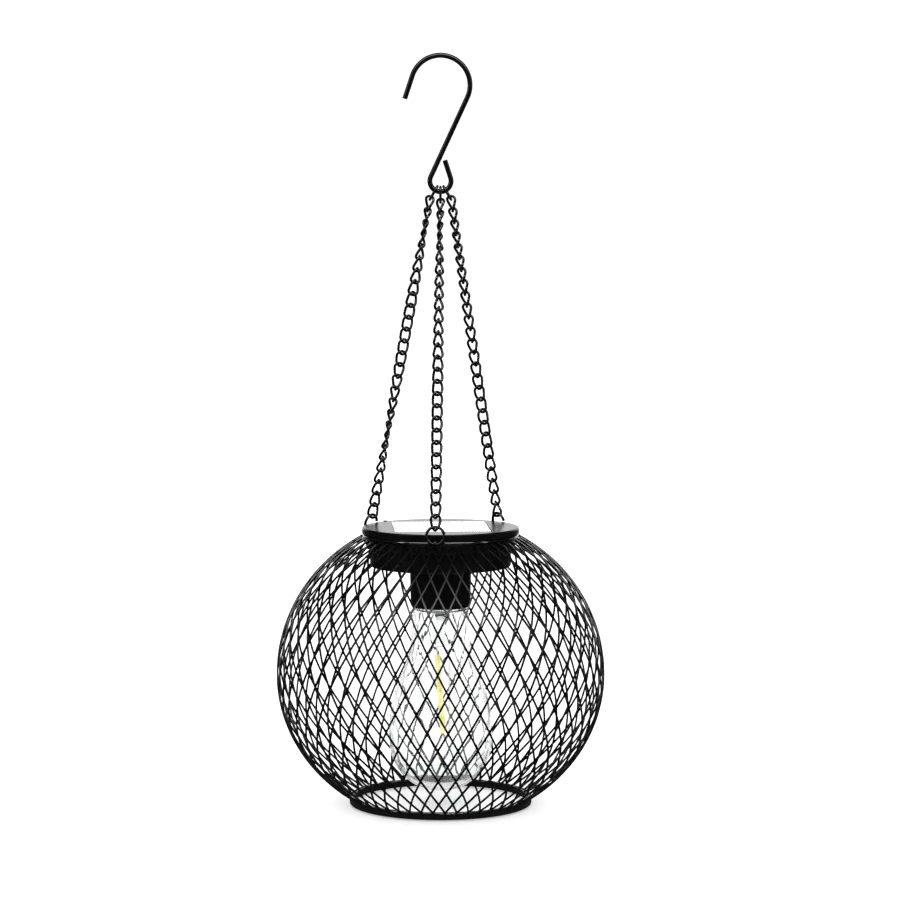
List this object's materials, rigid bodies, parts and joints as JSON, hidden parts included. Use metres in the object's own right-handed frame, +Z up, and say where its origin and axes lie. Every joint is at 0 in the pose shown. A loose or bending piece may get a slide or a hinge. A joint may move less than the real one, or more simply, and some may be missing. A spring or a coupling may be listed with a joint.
{
  "type": "solar garden lantern",
  "caption": "Hanging solar lantern: open diamond-mesh globe with a round solar cap and clear bulb, carried by chains on a wire hook.",
  "frame": {"origin": "the hook's seat: the inside top of its big bend, straight above the lamp's axis", "axes": "+Z up, -Y towards the lantern's front (the side with the front chain), +X to the right of someone who looks at the front"},
  "size_m": [0.1912, 0.1912, 0.4356],
  "materials": {
    "wire_black": "smooth glossy black paint on a bent wire",
    "chain_black": "glossy black paint",
    "cage_black": "semi-gloss black powder coat",
    "housing_black": "black moulded plastic, slightly polished",
    "panel_board": "dark board, mostly hidden by the cells",
    "solar_cell": "dark grey-blue thin-film cell",
    "panel_clear": "clear glossy resin, pale where it mirrors the sky",
    "gasket_rubber": "matte black rubber",
    "screw_steel": "plated steel, cross recess",
    "battery_sleeve": "printed-free green shrink sleeve",
    "contact_metal": "nickel-plated spring steel",
    "circuit_green": "green solder resist",
    "electronic_parts": "dark epoxy bodies",
    "switch_plastic": "black moulded plastic",
    "bulb_plug": "dark plastic with two leads through it",
    "bulb_glass": "thin clear glass",
    "stem_glass": "thick clear glass",
    "filament_glow": "yellow phosphor coating, glowing",
    "lead_wire": "thin plain wire"
  },
  "bodies": {
    "hook": {"s_hook": "wire_black"},
    "top_links": {"top_links": "chain_black"},
    "lantern": {"chain_front": "chain_black", "chain_left": "chain_black", "chain_right": "chain_black", "jump_ring_front": "chain_black", "jump_ring_left": "chain_black", "jump_ring_right": "chain_black", "lug_front": "cage_black", "lug_left": "cage_black", "lug_right": "cage_black", "mesh_strands_left": "cage_black", "mesh_strands_right": "cage_black", "base_ring": "cage_black", "top_collar": "cage_black"},
    "solar_unit": {"solar_cap": "housing_black", "panel_board": "panel_board", "panel_cells": "solar_cell", "panel_cover": "panel_clear", "gasket": "gasket_rubber", "housing_drum": "housing_black", "battery_door": "housing_black", "door_screws": "screw_steel", "battery_tray": "housing_black", "battery": "battery_sleeve", "battery_contacts": "contact_metal", "circuit_board": "circuit_green", "circuit_parts": "electronic_parts", "switch_case": "housing_black", "lamp_socket": "housing_black", "socket_nut": "housing_black", "bulb_plug": "bulb_plug", "bulb_glass": "bulb_glass", "bulb_stem": "stem_glass", "led_filament": "filament_glow", "filament_leads": "lead_wire"},
    "switch": {"switch_knob": "switch_plastic"}
  },
  "joints": [
    {"name": "side_swing", "type": "hinge", "parent": "hook", "child": "top_links", "pos_m": [0, 0, -0.0704], "axis": [0, 1, 0], "range_deg": [-25, 25]},
    {"name": "fore_aft_swing", "type": "hinge", "parent": "top_links", "child": "lantern", "pos_m": [0, 0, -0.0806], "axis": [1, 0, 0], "range_deg": [-20, 20]},
    {"name": "cap_turn", "type": "hinge", "parent": "lantern", "child": "solar_unit", "pos_m": [0, 0, -0.2704], "axis": [0, 0, 1], "range_deg": [0, 30]},
    {"name": "switch_slide", "type": "slide", "parent": "solar_unit", "child": "switch", "axis": [1, 0, 0], "range_m": [0, 0.0024]}
  ]
}
